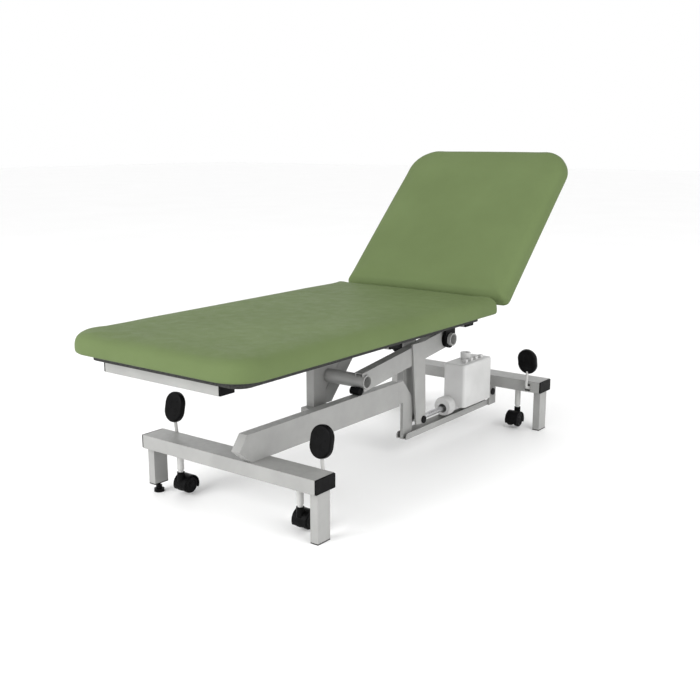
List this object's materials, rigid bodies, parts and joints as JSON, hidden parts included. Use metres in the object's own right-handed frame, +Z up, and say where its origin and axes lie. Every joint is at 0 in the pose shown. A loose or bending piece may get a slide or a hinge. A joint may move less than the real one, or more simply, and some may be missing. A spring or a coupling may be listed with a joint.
{
  "type": "medical exam table",
  "caption": "Height-adjustable examination couch with a padded seat section, raising backrest, lift arm and retractable castors worked by pedals.",
  "frame": {"origin": "on the floor, at the centre of the couch's footprint box", "axes": "+Z up, +Y towards the backrest end, -Y towards the foot end, +X towards the drive side"},
  "size_m": [0.65, 1.7335, 0.9808],
  "materials": {
    "frame_paint": "semi-gloss light grey",
    "black_caps": "moulded black",
    "rubber_feet": "matt black",
    "rubber_pads": "matt black",
    "black_pins": "black caps on the pins",
    "black_bushes": "black moulded",
    "steel": "bright",
    "foot_black": "black",
    "castor_steel": "light grey",
    "board": "pale board",
    "green_vinyl": "green upholstery vinyl over foam",
    "strut_black": "black",
    "drive_grey": "grey",
    "box_white": "white moulded",
    "pedal_black": "black moulded",
    "castor_black": "black moulded"
  },
  "bodies": {
    "base": {"cross_beams": "frame_paint", "beam_end_caps": "black_caps", "legs": "frame_paint", "leg_plugs": "rubber_feet", "spine_tube": "frame_paint", "riser_plate": "frame_paint", "low_channel": "frame_paint", "rear_hanger": "frame_paint", "drive_rear_pin": "black_pins", "pivot_tower": "frame_paint", "rest_pad": "rubber_pads", "pivot_spindles": "steel", "spine_buffer": "rubber_pads", "castor_guides": "castor_steel"},
    "levelling_foot": {"levelling_foot": "foot_black"},
    "lift_arm": {"lift_arm_tube": "frame_paint", "lower_torque_tube": "frame_paint", "upper_bushes": "black_bushes", "crank_plates": "frame_paint", "crank_pin": "black_pins"},
    "control_link": {"control_link": "frame_paint"},
    "seat": {"seat_cross_tubes": "frame_paint", "seat_tube_caps": "black_caps", "seat_rails": "frame_paint", "seat_board": "board", "seat_cushion": "green_vinyl", "seat_pivot_brackets": "black_bushes", "seat_pivot_tube": "frame_paint", "seat_strut_and_link_ears": "frame_paint", "seat_hinge_lugs": "frame_paint"},
    "backrest": {"backrest_frame": "frame_paint", "backrest_hinge_lugs": "frame_paint", "backrest_board": "board", "backrest_cushion": "green_vinyl"},
    "strut_tube": {"strut_tube": "strut_black"},
    "strut_rod": {"strut_rod": "steel"},
    "drive_unit": {"drive_housing": "drive_grey", "control_box": "box_white", "box_sockets": "box_white"},
    "drive_rod": {"drive_rod": "steel"},
    "pedal_front_left": {"pedal_front_left_rod": "castor_steel", "pedal_front_left_pad": "pedal_black"},
    "castor_front_left_stem": {"castor_front_left_stem": "castor_steel"},
    "castor_front_left_fork": {"castor_front_left_fork": "castor_black"},
    "castor_front_left_wheels": {"castor_front_left_wheels": "castor_black"},
    "pedal_front_right": {"pedal_front_right_rod": "castor_steel", "pedal_front_right_pad": "pedal_black"},
    "castor_front_right_stem": {"castor_front_right_stem": "castor_steel"},
    "castor_front_right_fork": {"castor_front_right_fork": "castor_black"},
    "castor_front_right_wheels": {"castor_front_right_wheels": "castor_black"},
    "pedal_rear_left": {"pedal_rear_left_rod": "castor_steel", "pedal_rear_left_pad": "pedal_black"},
    "castor_rear_left_stem": {"castor_rear_left_stem": "castor_steel"},
    "castor_rear_left_fork": {"castor_rear_left_fork": "castor_black"},
    "castor_rear_left_wheels": {"castor_rear_left_wheels": "castor_black"},
    "pedal_rear_right": {"pedal_rear_right_rod": "castor_steel", "pedal_rear_right_pad": "pedal_black"},
    "castor_rear_right_stem": {"castor_rear_right_stem": "castor_steel"},
    "castor_rear_right_fork": {"castor_rear_right_fork": "castor_black"},
    "castor_rear_right_wheels": {"castor_rear_right_wheels": "castor_black"}
  },
  "joints": [
    {"name": "lift", "type": "hinge", "parent": "base", "child": "lift_arm", "pos_m": [0, -0.08875, 0.298], "axis": [1, 0, 0], "range_deg": [0, 40]},
    {"name": "seat_level", "type": "hinge", "parent": "lift_arm", "child": "seat", "pos_m": [0, 0.37225, 0.357], "axis": [1, 0, 0], "range_deg": [-41, 0.5]},
    {"name": "link_swing", "type": "hinge", "parent": "base", "child": "control_link", "pos_m": [-0.081, -0.12875, 0.345], "axis": [1, 0, 0], "range_deg": [-0.5, 41]},
    {"name": "drive_swing", "type": "hinge", "parent": "base", "child": "drive_unit", "pos_m": [0.086, 0.68925, 0.107], "axis": [1, 0, 0], "range_deg": [-32.5, 0.5]},
    {"name": "rod_swing", "type": "hinge", "parent": "lift_arm", "child": "drive_rod", "pos_m": [0.086, 0.22825, 0.107], "axis": [1, 0, 0], "range_deg": [-72.5, 0.5]},
    {"name": "backrest", "type": "hinge", "parent": "seat", "child": "backrest", "pos_m": [0, 0.37225, 0.485], "axis": [1, 0, 0], "range_deg": [-44.4, 25.6]},
    {"name": "strut_swing", "type": "hinge", "parent": "seat", "child": "strut_tube", "pos_m": [0, 0.30525, 0.37], "axis": [1, 0, 0], "range_deg": [-23, 13.5]},
    {"name": "strut_rod_swing", "type": "hinge", "parent": "backrest", "child": "strut_rod", "pos_m": [0, 0.50689, 0.51188], "axis": [1, 0, 0], "range_deg": [-13, 22.2]},
    {"name": "foot_level", "type": "slide", "parent": "base", "child": "levelling_foot", "axis": [0, 0, -1], "range_m": [-0.005, 0.012]},
    {"name": "pedal_front_left", "type": "hinge", "parent": "base", "child": "pedal_front_left", "pos_m": [-0.275, -0.52775, 0.156], "axis": [-1, 0, 0], "range_deg": [0, 45]},
    {"name": "castor_front_left_drop", "type": "slide", "parent": "base", "child": "castor_front_left_stem", "axis": [0, 0, -1], "range_m": [-0.0002, 0.0145]},
    {"name": "castor_front_left_swivel", "type": "hinge", "parent": "castor_front_left_stem", "child": "castor_front_left_fork", "pos_m": [-0.226, -0.54975, 0.06], "axis": [0, 0, 1], "continuous": true},
    {"name": "castor_front_left_roll", "type": "hinge", "parent": "castor_front_left_fork", "child": "castor_front_left_wheels", "pos_m": [-0.226, -0.52975, 0.031], "axis": [1, 0, 0], "continuous": true},
    {"name": "pedal_front_right", "type": "hinge", "parent": "base", "child": "pedal_front_right", "pos_m": [0.275, -0.52775, 0.156], "axis": [-1, 0, 0], "range_deg": [0, 45]},
    {"name": "castor_front_right_drop", "type": "slide", "parent": "base", "child": "castor_front_right_stem", "axis": [0, 0, -1], "range_m": [-0.0002, 0.0145]},
    {"name": "castor_front_right_swivel", "type": "hinge", "parent": "castor_front_right_stem", "child": "castor_front_right_fork", "pos_m": [0.226, -0.54975, 0.06], "axis": [0, 0, 1], "continuous": true},
    {"name": "castor_front_right_roll", "type": "hinge", "parent": "castor_front_right_fork", "child": "castor_front_right_wheels", "pos_m": [0.226, -0.52975, 0.031], "axis": [1, 0, 0], "continuous": true},
    {"name": "pedal_rear_left", "type": "hinge", "parent": "base", "child": "pedal_rear_left", "pos_m": [-0.275, 0.64825, 0.156], "axis": [1, 0, 0], "range_deg": [0, 45]},
    {"name": "castor_rear_left_drop", "type": "slide", "parent": "base", "child": "castor_rear_left_stem", "axis": [0, 0, -1], "range_m": [-0.0002, 0.0145]},
    {"name": "castor_rear_left_swivel", "type": "hinge", "parent": "castor_rear_left_stem", "child": "castor_rear_left_fork", "pos_m": [-0.226, 0.67025, 0.06], "axis": [0, 0, 1], "continuous": true},
    {"name": "castor_rear_left_roll", "type": "hinge", "parent": "castor_rear_left_fork", "child": "castor_rear_left_wheels", "pos_m": [-0.226, 0.65025, 0.031], "axis": [1, 0, 0], "continuous": true},
    {"name": "pedal_rear_right", "type": "hinge", "parent": "base", "child": "pedal_rear_right", "pos_m": [0.275, 0.64825, 0.156], "axis": [1, 0, 0], "range_deg": [0, 45]},
    {"name": "castor_rear_right_drop", "type": "slide", "parent": "base", "child": "castor_rear_right_stem", "axis": [0, 0, -1], "range_m": [-0.0002, 0.0145]},
    {"name": "castor_rear_right_swivel", "type": "hinge", "parent": "castor_rear_right_stem", "child": "castor_rear_right_fork", "pos_m": [0.226, 0.67025, 0.06], "axis": [0, 0, 1], "continuous": true},
    {"name": "castor_rear_right_roll", "type": "hinge", "parent": "castor_rear_right_fork", "child": "castor_rear_right_wheels", "pos_m": [0.226, 0.65025, 0.031], "axis": [1, 0, 0], "continuous": true}
  ],
  "couplings": [
    {"joint": "seat_level", "follows": "lift", "ratio": -1},
    {"joint": "link_swing", "follows": "lift", "ratio": 1},
    {"joint": "drive_swing", "follows": "lift", "ratio": -0.79},
    {"joint": "rod_swing", "follows": "lift", "ratio": -1.79},
    {"joint": "strut_swing", "follows": "backrest", "ratio": 0.51},
    {"joint": "strut_rod_swing", "follows": "backrest", "ratio": -0.49},
    {"joint": "castor_front_left_drop", "follows": "pedal_front_left", "m_per_rad": 0.017825},
    {"joint": "castor_front_right_drop", "follows": "pedal_front_right", "m_per_rad": 0.017825},
    {"joint": "castor_rear_left_drop", "follows": "pedal_rear_left", "m_per_rad": 0.017825},
    {"joint": "castor_rear_right_drop", "follows": "pedal_rear_right", "m_per_rad": 0.017825}
  ]
}
